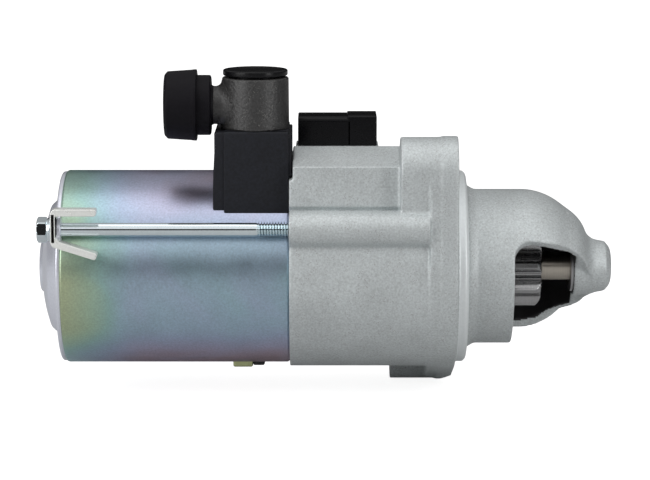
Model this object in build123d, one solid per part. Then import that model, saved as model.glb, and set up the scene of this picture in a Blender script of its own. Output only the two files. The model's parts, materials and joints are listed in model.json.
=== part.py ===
"""Planetary gear-reduction starter motor with a coaxial solenoid.

Millimetres. The X axis is the shaft axis, +X points to the pinion nose and +Z is up.
The origin is on the shaft axis, in the plane of the mounting flange's front face.
"""
from build123d import *
from math import acos, cos, degrees, hypot, pi, radians, sin, sqrt, tan
import os

# Casings along the shaft axis
BARREL_REAR = -59.6
BARREL_R = 36.4
BARREL_BORE = 33.2
YOKE_REAR = -140.6
YOKE_R = 35.0
YOKE_BORE = 32.5
COVER_PLATE = 1.6
FLANGE_THICK = 10.0
FLANGE_STEP = 5.7
FLANGE_PROUD = 0.9
PILOT_LENGTH = 4.0
PILOT_R = 34.8
NOSE_R = 28.1
NOSE_WALL = 3.2
NOSE_CAVITY_END = 43.2
NOSE_END = 57.1
NOSE_TIP_R = 9.4
CLUTCH_BORE = 24.9

# Mounting ears: centre (y, z), boss radius, boss rear face and where the bolt hole ends
UPPER_EAR = dict(at=(-25.5, 39.1), boss=11.8, rear=-20.4, hole_end=-18.6)
LOWER_EAR = dict(at=(23.7, -36.2), boss=11.0, rear=-22.6, hole_end=-22.6)
EAR_HOLE_R = 5.25

# Ring-gear window in the nose, and the raised box on top of the barrel
WINDOW_START = 20.5
WINDOW_FAR_Y = 11.8
WINDOW_DEPTH = 6.8
WINDOW_ANGLE = 228.0
RAISED_TOP = 46.0
CONNECTOR_FOOT = 45.2
EAR_CHAMFER = 3.4
RAISED_FRONT = -20.0

# Through bolts
BOLT_AT = (-33.2, 19.15)
BOLT_R = 2.5
BOLT_HEAD_AF = 8.0
BOLT_BOSS_R = 6.2
BOLT_TIP = -46.0

# Shaft journals and running clearance
REAR_JOURNAL_R = 4.0
FRONT_JOURNAL_R = 3.5
CARRIER_JOURNAL_R = 8.0
NOSE_JOURNAL_R = 5.15
RUNNING = 0.03

# Planetary gear train
MODULE = 1.0
SUN_TEETH, PLANET_TEETH, RING_TEETH = 12, 18, 48
PLANET_COUNT = 3
CENTRE_DISTANCE = (SUN_TEETH + PLANET_TEETH) * MODULE / 2
GEAR_REAR, GEAR_FRONT = -58.4, -50.4
FIRST_PLANET = 30.0

# Pinion
PINION_TEETH = 9
PINION_MODULE = 2.54
PINION_TIP_R = 14.6
PINION_FRONT = 31.4

# Armature and brushes
ARMATURE_R = 24.7
ARMATURE_REAR, ARMATURE_FRONT = -132.0, -97.0
SLOTS = 16
COMMUTATOR_R = 13.0
BRUSH_ANGLES = (45.0, 135.0, 225.0, 315.0)

# Solenoid
COIL_REAR, COIL_FRONT = -40.5, -15.5
PLUNGER_R = 22.5
PLUNGER_BORE = 12.6
PLUNGER_REAR, PLUNGER_FRONT = -43.1, -25.5
CONTACT_ROD_Z = 29.6

# Terminal tower, its stud and cap
TOWER_AT = (-71.65, -14.0)
TOWER_R = 12.0
TOWER_TOP = 70.7
STUD_Z = 60.6
STUD_R = 4.0
CAP_R = 12.7
CAP_REAR, CAP_MOUTH = -104.1, -92.5


# Shape helpers
def across(x):
    """Plane square to the shaft axis at x; its own x and y are world y and z."""
    return Plane(origin=(x, 0, 0), x_dir=(0, 1, 0), z_dir=(1, 0, 0))


def prism(sketch, start, end):
    """A sketch drawn in (y, z), carried along the shaft axis from start to end."""
    return extrude(across(start) * sketch, end - start, dir=(1, 0, 0))


def tube(start, end, outer, inner=0.0, at=(0.0, 0.0)):
    """A round bar or tube parallel to the shaft axis, centred at (y, z)."""
    section = Circle(outer) - Circle(inner) if inner else Circle(outer)
    return prism(Pos(*at) * section, start, end)


def lathe(*profile):
    """A closed profile of (x, radius) points, turned about the shaft axis."""
    return revolve(Plane.XZ * make_face(Polyline(*profile, close=True)), Axis.X)


def block(x, y, z):
    """A box given by its (low, high) along each axis."""
    low, high = zip(x, y, z)
    size = [b - a for a, b in zip(low, high)]
    return Pos(*[(a + b) / 2 for a, b in zip(low, high)]) * Box(*size)


def about_axis(shape, angle):
    return Rot(angle, 0, 0) * shape


def around_axis(shape, angles):
    """The same shape turned about the shaft axis to each angle."""
    return [about_axis(shape, angle) for angle in angles]


def even(count, first=0.0):
    return [first + 360 / count * i for i in range(count)]


def group(shapes):
    """Separate solids kept together in one node."""
    solids = []
    for shape in shapes:
        solids += shape.solids()
    return Compound(solids)


def spring(start, end, mean_r, wire_r, turns):
    """A coil spring standing on start, with its axis along world x."""
    pitch = (end - start - 2 * wire_r) / turns
    path = Helix(pitch=pitch, height=pitch * turns, radius=mean_r)
    coil = sweep(Plane(origin=path @ 0, z_dir=path % 0) * Circle(wire_r), path)
    return Pos(start + wire_r, 0, 0) * Rot(0, 90, 0) * coil


def gear_outline(teeth, module, root, tip, thicken=0.0):
    """Involute gear outline with a tooth centred on angle 0.

    A flank's angle from the tooth centre at radius r is half the tooth's angle at the pitch
    circle plus inv(20 degrees) minus inv(the pressure angle at r), with inv(a) = tan(a) - a.
    """
    pitch_r = teeth * module / 2
    base_r = pitch_r * cos(radians(20))
    half = (pi * module / 2 + thicken) / (2 * pitch_r) + tan(radians(20)) - radians(20)
    start = max(base_r * 1.0005, root)

    def flank_angle(r):
        a = acos(min(1.0, base_r / r))
        return half - (tan(a) - a)

    def polar(r, angle):
        return (r * cos(angle), r * sin(angle))

    edges, steps = [], 5
    radii = [start + (tip - start) * i / (steps - 1) for i in range(steps)]
    for tooth in range(teeth):
        mid = 2 * pi * tooth / teeth
        rising = [polar(r, mid - flank_angle(r)) for r in radii]
        falling = [polar(r, mid + flank_angle(r)) for r in reversed(radii)]
        edges += [Spline(*rising), ThreePointArc(rising[-1], polar(tip, mid), falling[0])]
        edges += [Spline(*falling)]
        next_mid = mid + 2 * pi / teeth
        foot = polar(root, mid + flank_angle(start))
        next_foot = polar(root, next_mid - flank_angle(start))
        valley = ThreePointArc(foot, polar(root, mid + pi / teeth), next_foot)
        if start > root:
            edges += [Line(falling[-1], foot), valley]
            edges += [Line(next_foot, polar(start, next_mid - flank_angle(start)))]
        else:
            edges += [valley]
    return make_face(edges)


# Drive housing
def nose_outline(offset):
    """Half outline of the nose, drawn inwards by offset, from the flange to the tip."""
    r = NOSE_R - offset
    shoulder = [(25.0, r), (31.8, r - 1.3), (38.0 - offset * 0.3, r - 4.6)]
    return r, shoulder


def nose_solid():
    """Outside of the nose: round shoulder, cone, hollow neck and the tip boss."""
    r, shoulder = nose_outline(0.0)
    outline = [
        Line((0, 0), (0, r)),
        Line((0, r), shoulder[0]),
        ThreePointArc(*shoulder),
        Line(shoulder[2], (42.6, 20.1)),
        ThreePointArc((42.6, 20.1), (46.2, 16.3), (48.0, 12.6)),
        ThreePointArc((48.0, 12.6), (50.0, 10.4), (53.2, NOSE_TIP_R)),
        ThreePointArc((53.2, NOSE_TIP_R), (56.2, 7.6), (NOSE_END, 4.6)),
        Line((NOSE_END, 4.6), (NOSE_END, 0)),
        Line((NOSE_END, 0), (0, 0)),
    ]
    return revolve(Plane.XZ * make_face(outline), Axis.X)


def nose_cavity():
    r, shoulder = nose_outline(NOSE_WALL)
    end_r = 16.4
    outline = [
        Line((-12.4, 0), (-12.4, CLUTCH_BORE)),
        Line((-12.4, CLUTCH_BORE), (shoulder[0][0], r)),
        ThreePointArc(*shoulder),
        Line(shoulder[2], (NOSE_CAVITY_END - 2, end_r + 1.6)),
        Line((NOSE_CAVITY_END - 2, end_r + 1.6), (NOSE_CAVITY_END, end_r)),
        Line((NOSE_CAVITY_END, end_r), (NOSE_CAVITY_END, 0)),
        Line((NOSE_CAVITY_END, 0), (-12.4, 0)),
    ]
    return revolve(Plane.XZ * make_face(outline), Axis.X)


def window_cutter():
    """Prism that opens the nose towards the ring gear, drawn in (x, depth) and then turned."""
    reach = 45.0
    outline = Polyline(
        (WINDOW_START, reach), (WINDOW_START, WINDOW_DEPTH), (32.0, WINDOW_DEPTH), (40.0, 5.6),
        (45.5, 6.6), (49.0, 8.2), (53.4, 9.8), (58.5, 14.0), (58.5, reach), close=True,
    )
    face = make_face(outline)
    corner = face.vertices().sort_by(lambda v: hypot(v.X - WINDOW_START, v.Y - WINDOW_DEPTH))[0]
    face = fillet(corner, 6.0)
    slab = extrude(Plane.XY * face, 40, both=True)
    return about_axis(slab, WINDOW_ANGLE) & block((0, 70), (-70, WINDOW_FAR_Y), (-70, 70))


def flange_section(trim=0.0):
    """Hull round the barrel and both mounting ears, in (y, z)."""
    edges = list(Circle(BARREL_R + FLANGE_PROUD - trim).edges())
    for ear in (UPPER_EAR, LOWER_EAR):
        edges += (Pos(*ear["at"]) * Circle(ear["boss"] - trim)).edges()
    return make_hull(edges)


def ear_wall(ear):
    """An ear boss with its wall running down to the barrel, a little inside the flange's edge."""
    y, z = ear["at"]
    boss = ear["boss"] - 0.35
    foot = Pos(0.96 * y, 0.62 * z) * Circle(boss * 0.95)
    edges = (Pos(y, z) * Circle(boss)).edges() + foot.edges()
    return prism(make_hull(edges), ear["rear"], -FLANGE_STEP / 2)


def raised_box():
    """The cast rise over the barrel that carries the connector and meets the terminal block."""
    outline = Polyline(
        (-15.0, RAISED_TOP), (-30.0, 40.5), (-30.6, 26.4), (-24.0, 20.0), (24.0, 20.0),
        (26.0, 29.0), (21.0, 37.0), (12.0, 40.6), (-12.0, 45.3), close=True,
    )
    body = prism(make_face(outline), BARREL_REAR, RAISED_FRONT)
    body += block((-57.4, -27.6), (-8.4, 7.8), (38.0, CONNECTOR_FOOT))
    lip = block((BARREL_REAR - 1, BARREL_REAR + 1.3), (-32, 9), (35.6, 50))
    return body - lip


def bolt_places():
    y, z = BOLT_AT
    return [(y, z), (-y, -z)]


def polar_angle(y, z):
    return degrees(acos(y / hypot(y, z))) * (1 if z > 0 else -1)


def bolt_boss(y, z):
    """Half-round rib along the barrel for one through bolt, with a saddle down to the barrel."""
    reach = hypot(y, z)
    saddle = block((BARREL_REAR, -FLANGE_THICK), (20, reach), (-BOLT_BOSS_R, BOLT_BOSS_R))
    return tube(BARREL_REAR, -FLANGE_THICK, BOLT_BOSS_R, at=(y, z)) + about_axis(saddle, polar_angle(y, z))


def drive_housing():
    body = tube(BARREL_REAR, 0, BARREL_R)
    body += prism(flange_section(0.35), -FLANGE_THICK, -FLANGE_STEP)
    body += prism(flange_section(), -FLANGE_STEP, 0)
    for ear in (UPPER_EAR, LOWER_EAR):
        body += ear_wall(ear)
    body += raised_box()
    for y, z in bolt_places():
        body += bolt_boss(y, z)
    body += lathe((-1, 20), (-1, PILOT_R), (PILOT_LENGTH - 1, PILOT_R), (PILOT_LENGTH, PILOT_R - 1),
                  (PILOT_LENGTH, 20))
    body += nose_solid()
    body += lathe((PILOT_LENGTH - 1, 20), (PILOT_LENGTH - 1, 31), (PILOT_LENGTH + 1.2, 29.2),
                  (PILOT_LENGTH + 3.2, NOSE_R), (PILOT_LENGTH + 3.2, 20))
    body -= tube(BARREL_REAR, -12.4, BARREL_BORE)
    body -= nose_cavity()
    body -= window_cutter()
    body += lathe((NOSE_CAVITY_END, 0), (NOSE_CAVITY_END, 10.8), (50.0, 10.0), (NOSE_END - 2, 9.0),
                  (NOSE_END - 2, 0))
    body -= tube(NOSE_CAVITY_END, 55.0, 7.2)
    for ear in (UPPER_EAR, LOWER_EAR):
        body -= tube(ear["hole_end"], 1, EAR_HOLE_R, at=ear["at"])
    for y, z in bolt_places():
        body -= tube(BARREL_REAR, BOLT_TIP + 1, BOLT_R + 0.05, at=(y, z))
    low = LOWER_EAR["at"][1] - LOWER_EAR["boss"]
    corner = Pos(0, LOWER_EAR["at"][0], low) * Rot(0, 45, 0) * Box(EAR_CHAMFER * sqrt(2), 30, 20)
    return body - corner


def nose_parts():
    bush = tube(NOSE_CAVITY_END + 0.6, 54.8, 7.2, NOSE_JOURNAL_R + RUNNING)
    washer = tube(NOSE_CAVITY_END - 0.9, NOSE_CAVITY_END, 9.2, NOSE_JOURNAL_R + 0.3)
    return {"nose_bush": bush, "nose_washer": washer}


# Motor casing
def yoke():
    shell = tube(YOKE_REAR, BARREL_REAR, YOKE_R, YOKE_BORE)
    front_rims = shell.edges().filter_by(GeomType.CIRCLE).group_by(Axis.X)[-1]
    shell = chamfer(front_rims.sort_by(SortBy.RADIUS)[-1], 0.8)
    bus_opening = block((-69.5, -62.5), (-17.5, -8.5), (20, 40))
    drain_hole = block((-79.0, -70.0), (-3.5, 3.5), (-40, -30))
    return shell - bus_opening - drain_hole


def end_cover():
    """Pressed cap: a plate, a stepped dome over the rear bush and two joggled bolt ears."""
    skin = COVER_PLATE
    front = YOKE_REAR
    outer = [(front - skin, 34.6), (front - skin, 25.6), (-143.6, 24.6), (-146.0, 22.4), (-147.4, 18.0),
             (-148.2, 14.6), (-149.0, 9.8), (-149.4, 9.0), (-150.4, 8.4), (-150.4, 0)]
    inner = [(-149.2, 0), (-149.2, 6.6), (-141.2, 6.6), (-141.2, 9.4), (-147.0, 9.6), (-146.6, 14.2),
             (-145.8, 17.4), (-144.5, 21.4), (-142.4, 23.4), (front, 24.2), (front, 34.6)]
    cover = lathe(*outer, *inner)
    for y, z in bolt_places():
        angle = polar_angle(y, z)
        reach = hypot(y, z)
        ear = Pos(reach, 0) * Circle(4.2) + Pos((reach + 33.4) / 2, 0) * Rectangle(reach - 33.4, 8.4)
        cover += about_axis(prism(ear, -141.2, -139.6) - tube(-142, -139, 35.1), angle)
        tie = block((-141.2, -140.6), (33.0, 36.0), (-4.2, 4.2))
        cover += about_axis(tie, angle)
        cover -= tube(-145, -139, BOLT_R + 0.25, at=(y, z))
    return cover


def rear_bush():
    return tube(-149.2, -141.4, 6.6, REAR_JOURNAL_R + RUNNING)


def through_bolt(y, z):
    head = prism(Pos(y, z) * RegularPolygon(BOLT_HEAD_AF / 2, 6, major_radius=False), -148.0, -143.5)
    washer = tube(-143.5, -142.7, 5.35, at=(y, z))
    shank = tube(-142.7, -71.0, BOLT_R, at=(y, z))
    thread = tube(-71.0, BOLT_TIP, BOLT_R, at=(y, z))
    return head + washer + shank + thread


def bolt_clip():
    """U-shaped bracket: base under the bolt head, one straight leg and one splayed leg."""
    rear, sheet, leg = -142.7, 1.5, 2.2
    y, z = BOLT_AT
    top, bottom = z + 7.4, z - 5.5
    side = (y - 6.2, y - 0.6)
    base = block((rear, rear + sheet), (side[0], y + 5.6), (bottom, top))
    straight = block((rear, rear + 15.9), side, (top - leg, top))
    splayed = Pos(rear, 0, bottom) * Rot(0, 17.5, 0) * block((0, 16.4), side, (0, leg))
    clip = base + straight + splayed
    clip -= tube(-145, -125, YOKE_R + 0.2)
    return clip - tube(-145, -139, BOLT_R + 0.25, at=(y, z))


def bolts():
    return {
        "through_bolts": group([through_bolt(y, z) for y, z in bolt_places()]),
        "bolt_clips": group(around_axis(bolt_clip(), (0, 180))),
    }


# Motor inside
def armature():
    shaft = lathe((-149.0, 0), (-149.0, REAR_JOURNAL_R), (-141.0, REAR_JOURNAL_R), (-141.0, 6.0),
                  (-90.0, 6.0), (-90.0, 5.5), (-62.0, 5.5), (-62.0, 5.0), (-58.6, 5.0),
                  (-58.6, FRONT_JOURNAL_R), (-39.4, FRONT_JOURNAL_R), (-39.4, 0))
    core = tube(ARMATURE_REAR, ARMATURE_FRONT, ARMATURE_R, 6.0)
    slot = Pos(ARMATURE_R - 4.6, 0) * Rectangle(6.6, 3.0) + Pos(ARMATURE_R - 1, 0) * Rectangle(3, 1.4)
    slots = prism(Sketch() + [Rot(0, 0, a) * slot for a in even(SLOTS)], -140, -90)
    core -= slots
    bar = prism(Pos(ARMATURE_R - 4.6, 0) * Rectangle(6.2, 2.6), ARMATURE_REAR - 2, ARMATURE_FRONT + 2)
    winding = lathe((-138.4, 9.5), (-138.4, 19.5), (-136.6, 22.6), (-132.3, 22.6), (-132.3, 9.5))
    winding += lathe((-96.7, 9.5), (-96.7, 22.6), (-93.2, 22.6), (-90.6, 18.5), (-90.6, 9.5))
    for turned_bar in around_axis(bar, even(SLOTS)):
        winding += turned_bar
    segments = lathe((-89.4, 8.5), (-89.4, 15.2), (-87.2, 15.2), (-87.2, COMMUTATOR_R),
                     (-75.0, COMMUTATOR_R), (-75.0, 8.5))
    groove = block((-90, -74), (COMMUTATOR_R - 1.2, 16), (-0.3, 0.3))
    for cut in around_axis(groove, even(SLOTS, 360 / SLOTS / 2)):
        segments -= cut
    return {
        "armature_shaft": shaft,
        "armature_core": core,
        "armature_windings": winding,
        "commutator": segments,
        "commutator_hub": tube(-89.4, -75.0, 8.5, 5.5),
    }


def field_magnets():
    ring = tube(-133.0, -96.0, YOKE_BORE, 25.3)
    gap = block((-134, -95), (20, 40), (-2.6, 2.6))
    for cut in around_axis(gap, even(6, 30)):
        ring -= cut
    return group([ring])


def brushes():
    """Four radial brushes in boxes on an insulating plate, each pressed in by a coil spring."""
    plate = tube(-74.6, -72.9, YOKE_BORE, 14.6)
    outer = block((-87.2, -74.6), (15.4, 30.2), (-4.9, 4.9))
    bore = block((-86.2, -75.8), (14.0, 28.8), (-3.7, 3.7))
    for box in around_axis(outer - bore, BRUSH_ANGLES):
        plate += box
    plate -= tube(-75, -72, 1.7, at=(0, CONTACT_ROD_Z))
    brush = block((-86.0, -76.0), (12.4, 21.4), (-3.5, 3.5))
    brush -= tube(-87, -75, COMMUTATOR_R + 0.12)
    coil = Rot(0, 0, 90) * spring(21.6, 28.6, 2.4, 0.4, 5)
    coil = Pos(-81.0, 0, 0) * coil
    pieces = {"brush_holder": plate}
    for i, angle in enumerate(BRUSH_ANGLES, 1):
        pieces[f"brush_{i}"] = about_axis(brush, angle)
    pieces["brush_springs"] = group(around_axis(coil, BRUSH_ANGLES))
    return pieces


# Gear train
def gear_train():
    backlash = -0.12
    sun = prism(gear_outline(SUN_TEETH, MODULE, 4.8, 6.8, backlash), GEAR_REAR, GEAR_FRONT)
    sun = about_axis(sun, FIRST_PLANET) - tube(GEAR_REAR - 1, GEAR_FRONT + 1, FRONT_JOURNAL_R)
    spaces = gear_outline(RING_TEETH, MODULE, 23.2, 25.1, -backlash)
    ring = tube(GEAR_REAR - 0.6, GEAR_FRONT + 0.2, 27.9) + tube(-52.2, GEAR_FRONT + 0.2, BARREL_BORE)
    ring -= prism(Rot(0, 0, FIRST_PLANET + 180 / RING_TEETH) * spaces, -60, -49)
    ring -= tube(-60, -49, 1.8, at=(0, CONTACT_ROD_Z))
    pieces = {"sun_gear": sun, "ring_gear": ring}
    tooth = gear_outline(PLANET_TEETH, MODULE, 7.8, 9.8, backlash)
    pins = []
    for i, angle in enumerate(even(PLANET_COUNT, FIRST_PLANET), 1):
        planet = prism(tooth, GEAR_REAR, GEAR_FRONT) - tube(GEAR_REAR - 1, GEAR_FRONT + 1, 3.0 + RUNNING)
        planet = about_axis(planet, 180 + 180 / PLANET_TEETH)
        pieces[f"planet_gear_{i}"] = about_axis(Pos(0, CENTRE_DISTANCE, 0) * planet, angle)
        pin = Pos(0, CENTRE_DISTANCE, 0) * tube(GEAR_REAR - 0.4, -47.2, 3.0)
        pins.append(about_axis(pin, angle))
    pieces["planet_pins"] = group(pins)
    return pieces


def spline_outline(minor, major, half_width, count=8):
    """A round core with straight-sided keys standing on it."""
    core = Circle(minor)
    key = Pos((minor + major) / 2 - 0.4, 0) * Rectangle(major - minor + 0.8, 2 * half_width)
    keys = Sketch() + [Rot(0, 0, angle) * key for angle in even(count)]
    return (core + keys) & Circle(major)


def output_shaft():
    """Carrier disc and pinion shaft in one forging, with straight drive splines."""
    shaft = tube(-49.8, -47.2, 20.6)
    shaft += tube(-47.2, -37.0, CARRIER_JOURNAL_R)
    shaft += prism(spline_outline(6.3, 7.3, 1.2), -37.0, -12.0)
    shaft += tube(-12.0, 54.0, NOSE_JOURNAL_R)
    shaft = chamfer(shaft.edges().filter_by(GeomType.CIRCLE).group_by(Axis.X)[-1], 0.8)
    shaft -= tube(-49.8, -38.6, 5.0)
    for angle in even(PLANET_COUNT, FIRST_PLANET):
        hole = Pos(0, CENTRE_DISTANCE, 0) * tube(-50, -47, 3.0)
        shaft -= about_axis(hole, angle)
    return shaft


def bearings():
    gear_cover = tube(-61.6, BARREL_REAR, YOKE_BORE, 6.6)
    gear_cover -= tube(-62, -59, 1.8, at=(0, CONTACT_ROD_Z))
    plate = tube(-46.9, -44.9, BARREL_BORE, 9.6) + tube(-46.9, -40.0, 12.2, 9.6)
    plate -= tube(-47, -44, 1.8, at=(0, CONTACT_ROD_Z))
    return {
        "gear_cover": gear_cover,
        "bearing_plate": plate,
        "shaft_bush": tube(-46.9, -40.0, 9.6, CARRIER_JOURNAL_R + RUNNING),
        "front_bush": tube(-48.6, -39.6, 5.0, FRONT_JOURNAL_R + RUNNING),
    }


# Solenoid and contacts
def solenoid():
    case = tube(-44.9, -15.3, BARREL_BORE, 31.7)
    core = tube(-15.3, -12.6, BARREL_BORE, 14.8)
    bobbin = lathe((COIL_REAR, 22.9), (COIL_REAR, 31.0), (COIL_REAR + 1.2, 31.0), (COIL_REAR + 1.2, 23.9),
                   (COIL_FRONT - 1.2, 23.9), (COIL_FRONT - 1.2, 31.0), (COIL_FRONT, 31.0), (COIL_FRONT, 22.9))
    coil = tube(COIL_REAR + 1.3, COIL_FRONT - 1.3, 30.6, 24.0)
    plunger = tube(PLUNGER_REAR, PLUNGER_FRONT, PLUNGER_R, PLUNGER_BORE)
    plunger += tube(PLUNGER_FRONT, -11.9, 14.2, PLUNGER_BORE)
    plunger -= tube(-37.2, PLUNGER_FRONT + 1, 20.8, 16.4)
    return {
        "solenoid_case": case,
        "solenoid_core": core,
        "solenoid_bobbin": bobbin,
        "solenoid_coil": coil,
        "plunger": plunger,
        "plunger_spring": spring(-37.1, -15.4, 18.6, 0.8, 6),
    }


def contacts():
    z = CONTACT_ROD_Z
    rod = tube(-71.8, -43.3, 1.5, at=(0, z))
    rod += block((-44.6, -43.3), (-3, 3), (19.0, z))
    plate = block((-70.5, -69.3), (-13, 13), (20, 27)) + block((-70.5, -69.3), (-3, 3), (27, 31.4))
    plate -= tube(-71, -69, 1.5, at=(0, z))
    sector = Circle(31.9) - Circle(17.2)
    sector &= make_face(Polyline((0, 10), (-19, 34), (19, 34), close=True))
    holder = prism(sector, -65.0, -61.6) - tube(-66, -61, 1.8, at=(0, z))
    near_pad = block((-67, -65), (-13, -5), (20, 27))
    far_pad = block((-67, -65), (5, 15), (20, 27)) + block((-72.9, -65), (13.5, 15), (20, 27))
    bus = block((-67, -65), (-15, -11), (22, STUD_Z + 2)) + near_pad
    bus += block((-79.4, -65), (-16, -12), (STUD_Z - 2, STUD_Z + 2))
    coil = Pos(0, 0, z) * spring(-72.8, -70.6, 2.2, 0.35, 2)
    return {
        "contact_rod": rod,
        "contact_plate": plate,
        "contact_spring": coil,
        "contact_holder": holder,
        "fixed_contact": far_pad,
        "bus_bar": bus,
    }


# Clutch and pinion
def clutch():
    """Roller clutch: the outer race rides the splines, the pinion hub is the inner race."""
    count, roller_r, track_r = 5, 2.9, 13.1
    outer = tube(-11.0, 7.0, 19.6) + tube(-34.0, -11.0, 10.6)
    outer -= prism(spline_outline(6.4, 7.4, 1.3), -35, -16)
    outer -= tube(-16.0, -7.9, 7.6)
    outer -= tube(-8.0, 8.0, 12.2)
    ramp = make_hull((Pos(track_r, 0) * Circle(3.05)).edges() + (Rot(0, 0, -26) * Pos(13.7, 0) * Circle(3.4)).edges())
    for angle in even(count):
        outer -= prism(Rot(0, 0, angle) * ramp, -8.0, 8.0)
    roller = prism(Pos(track_r, 0) * Circle(roller_r), -7.0, 6.4)
    fold = Rot(0, 0, -20) * Pos(13.4, 0) * Rectangle(3.6, 0.6)
    leaf = prism(fold, -6.0, 5.4) + prism(Rot(0, 0, -26) * Pos(13.4, 0) * Rectangle(3.6, 0.6), -6.0, 5.4)
    leaf += prism(Rot(0, 0, -23) * Pos(15.2, 0) * Rectangle(0.6, 1.5), -6.0, 5.4)
    cover = lathe((-11.6, 14.6), (-11.6, 20.6), (8.0, 20.6), (8.0, 10.2), (7.1, 10.2), (7.1, 19.8),
                  (-11.0, 19.8), (-11.0, 14.6))
    return {
        "clutch_outer": outer,
        "clutch_rollers": group(around_axis(roller, even(count))),
        "clutch_springs": group(around_axis(leaf, even(count))),
        "clutch_cover": cover,
    }


def pinion():
    teeth = prism(gear_outline(PINION_TEETH, PINION_MODULE, 9.0, PINION_TIP_R, 0.85), 17.4, PINION_FRONT)
    rounded = lathe((17.4, 0), (17.4, 13.2), (18.6, PINION_TIP_R), (PINION_FRONT - 1.6, PINION_TIP_R),
                    (PINION_FRONT, 12.8), (PINION_FRONT, 0))
    body = about_axis(teeth & rounded, 10)
    body += tube(-7.4, 17.4, 9.8)
    body += tube(10.4, 12.4, 12.6)
    body -= tube(-8, 32, 6.4)
    return {"pinion": body, "pinion_bush": tube(-7.0, 31.0, 6.4, NOSE_JOURNAL_R + RUNNING)}


# Terminal and connector
def terminal():
    x, y = TOWER_AT
    saddle = Cylinder(YOKE_R + 0.05, 60, rotation=(0, 90, 0))
    saddle = Pos(-73, 0, 0) * saddle
    body = block((-82.7, -59.7), (-26.0, 8.0), (20.0, 52.5))
    body = fillet(body.edges().filter_by(Axis.Z), 1.2)
    body += block((-85.5, -59.7), (-25.2, 6.0), (20.0, 52.0)) + block((-86.8, -59.7), (-25.2, 6.0), (20.0, 37.0))
    body += block((-60, -58.4), (-25.2, 8.0), (36.0, 51.5))
    body -= saddle
    bus_way = block((-70, -62), (-17, -9), (20, 60))
    body -= bus_way
    shell = Pos(x, y, 52.5) * Cylinder(TOWER_R, TOWER_TOP - 52.5, align=(Align.CENTER, Align.CENTER, Align.MIN))
    shell += tube(-90, x, 6.7, at=(y, STUD_Z))
    shell += tube(-93.0, -87.8, 10.4, at=(y, STUD_Z)) + tube(-94.5, -93.0, 8.7, at=(y, STUD_Z))
    hollow = Pos(x, y, 52.5) * Cylinder(9.4, 30, align=(Align.CENTER, Align.CENTER, Align.MIN))
    shell -= hollow
    shell -= tube(-95, x, STUD_R, at=(y, STUD_Z))
    stud_head = block((-81.4, -79.4), (y - 5, y + 5), (STUD_Z - 5, STUD_Z + 5))
    shell -= stud_head
    lid = Pos(x, y, 71.4) * Cylinder(11.5, 2.1, align=(Align.CENTER, Align.CENTER, Align.MIN))
    lid += Pos(x, y, 70.7) * Cylinder(10.4, 0.8, align=(Align.CENTER, Align.CENTER, Align.MIN))
    lid += Pos(x, y, 66.7) * Cylinder(9.3, 4.2, align=(Align.CENTER, Align.CENTER, Align.MIN))
    lid -= Pos(x, y, 66.0) * Cylinder(7.8, 4.4, align=(Align.CENTER, Align.CENTER, Align.MIN))
    stud = tube(-102.4, -79.4, STUD_R, at=(y, STUD_Z)) + stud_head
    nut = prism(Pos(y, STUD_Z) * (RegularPolygon(6.5, 6, major_radius=False) - Circle(STUD_R)), -102.2, -96.0)
    cap = tube(CAP_REAR, CAP_MOUTH, CAP_R, at=(y, STUD_Z))
    cap -= tube(-102.8, CAP_MOUTH, 9.0, at=(y, STUD_Z))
    cap = chamfer(cap.edges().filter_by(GeomType.CIRCLE).group_by(Axis.X)[0], 0.9)
    cap -= tube(-93.0, CAP_MOUTH, 10.7, at=(y, STUD_Z))
    return {
        "terminal_block": body,
        "terminal_tower": shell,
        "tower_lid": lid,
        "terminal_stud": stud,
        "terminal_nut": nut,
        "terminal_washer": tube(-96.0, -94.5, 8.4, STUD_R, at=(y, STUD_Z)),
        "protective_cap": cap,
    }


def connector():
    shell = block((-56.6, -28.3), (-8.4, 7.8), (CONNECTOR_FOOT, 55.6))
    shell += block((-38.9, -28.3), (-8.4, 7.8), (CONNECTOR_FOOT, 56.0))
    shell -= block((-57, -42.0), (-6.8, 6.2), (46.4, 54.4))
    blade = block((-54.0, -40.0), (-3.4, 2.8), (48.9, 49.7))
    return {"connector_shell": shell - blade, "connector_blade": blade}


def drain():
    clip = block((-80.4, -73.2), (-6, 6), (-36.6, -34.2))
    cover = block((-73.2, -68.9), (-5, 5), (-36.1, -34.3))
    outside = tube(-85, -65, 45, YOKE_R + 0.02)
    return {"drain_clip": clip & outside, "drain_cover": (cover - clip) & outside}


def all_pieces():
    pieces = {
        "drive_housing": drive_housing(),
        "yoke": yoke(),
        "end_cover": end_cover(),
        "rear_bush": rear_bush(),
        "field_magnets": field_magnets(),
        "output_shaft": output_shaft(),
    }
    builders = (nose_parts, bolts, armature, brushes, gear_train, bearings, solenoid, contacts, clutch,
                pinion, terminal, connector, drain)
    for builder in builders:
        pieces.update(builder())
    return pieces


os.makedirs("parts", exist_ok=True)
for name, shape in all_pieces().items():
    export_step(shape, f"parts/{name}.step")
print(len(os.listdir("parts")), "pieces written")
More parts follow.
